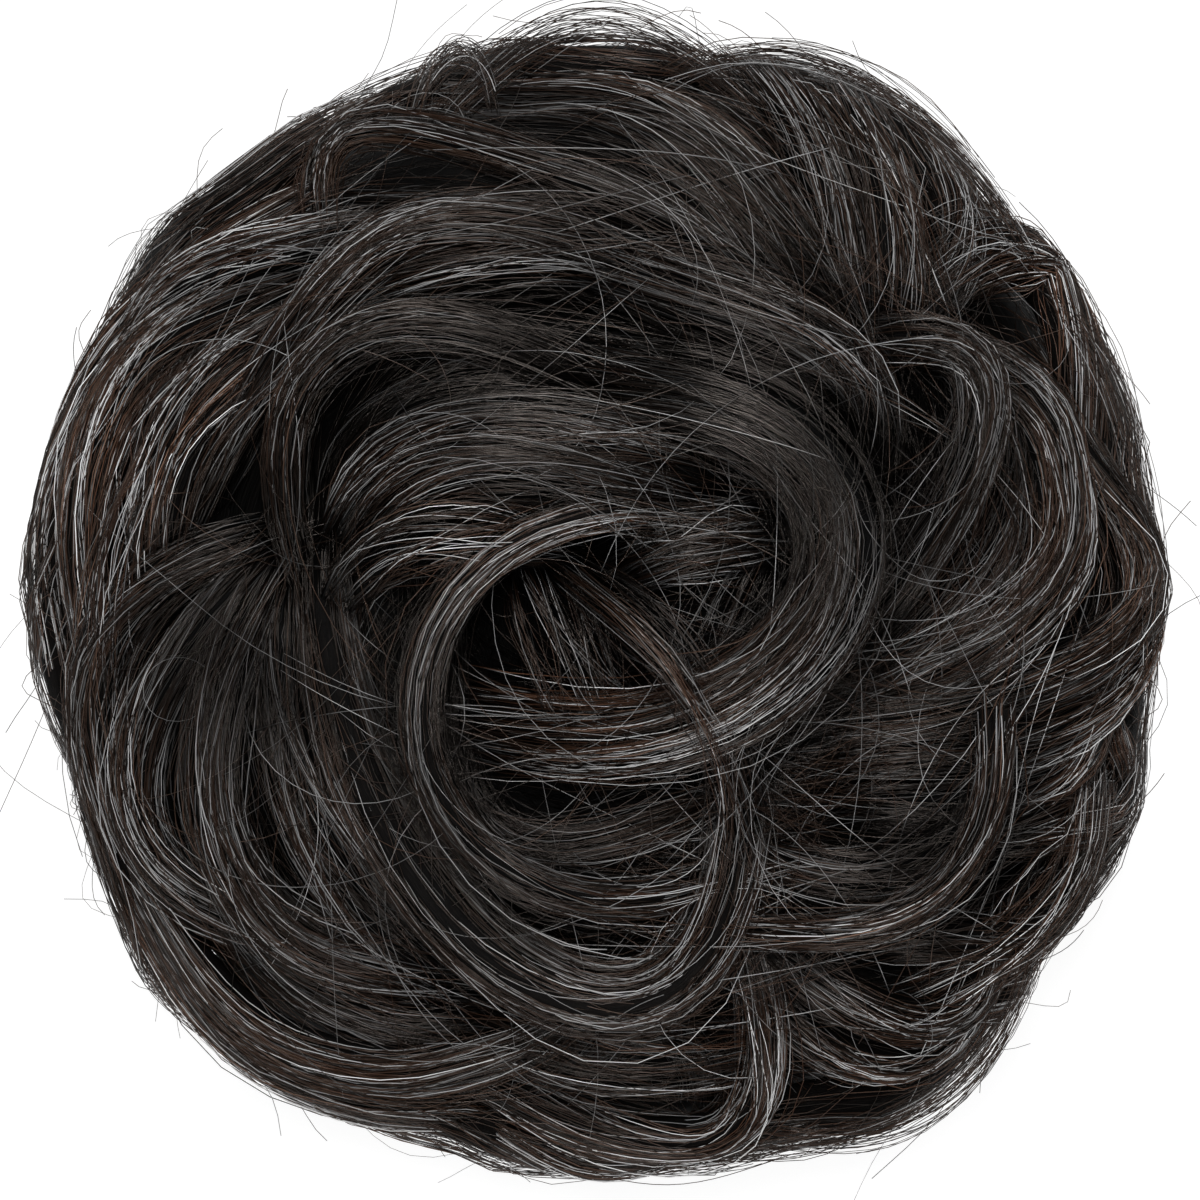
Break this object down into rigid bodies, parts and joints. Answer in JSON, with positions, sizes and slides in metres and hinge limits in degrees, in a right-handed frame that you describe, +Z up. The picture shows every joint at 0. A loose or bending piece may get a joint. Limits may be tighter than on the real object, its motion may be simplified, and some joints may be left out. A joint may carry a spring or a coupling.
{
  "type": "top knot hairpiece",
  "caption": "Messy top knot hairpiece: looped hair locks on a hollow round backing with an elastic band.",
  "frame": {"origin": "on the surface the hairpiece rests on, under the middle of its box", "axes": "+Z up out of the top of the bun, +Y towards the top of the picture, which looks straight down"},
  "size_m": [0.129, 0.1302, 0.0597],
  "materials": {
    "hair": "dark brown synthetic hair fibre, soft gloss",
    "lock_hair": "dark brown synthetic hair fibre with scattered grey strands, soft gloss",
    "elastic": "black covered elastic, matt"
  },
  "bodies": {
    "root": {"hair_base": "hair", "elastic_band": "elastic", "curl_lock": "lock_hair", "outer_arc_lock": "lock_hair", "left_sweep_lock": "lock_hair", "bottom_arc_lock": "lock_hair", "swirl_lock": "lock_hair", "right_outer_lock": "lock_hair", "inner_arc_lock": "lock_hair", "right_inner_lock": "lock_hair", "upper_sweep_lock": "lock_hair", "lower_ring_lock": "lock_hair", "well_side_lock": "lock_hair", "inner_bar_lock": "lock_hair", "blunt_lock": "lock_hair", "top_fan_lock": "lock_hair", "left_ring_lock": "lock_hair", "right_ring_lock": "lock_hair", "cross_lock": "lock_hair"}
  },
  "joints": []
}
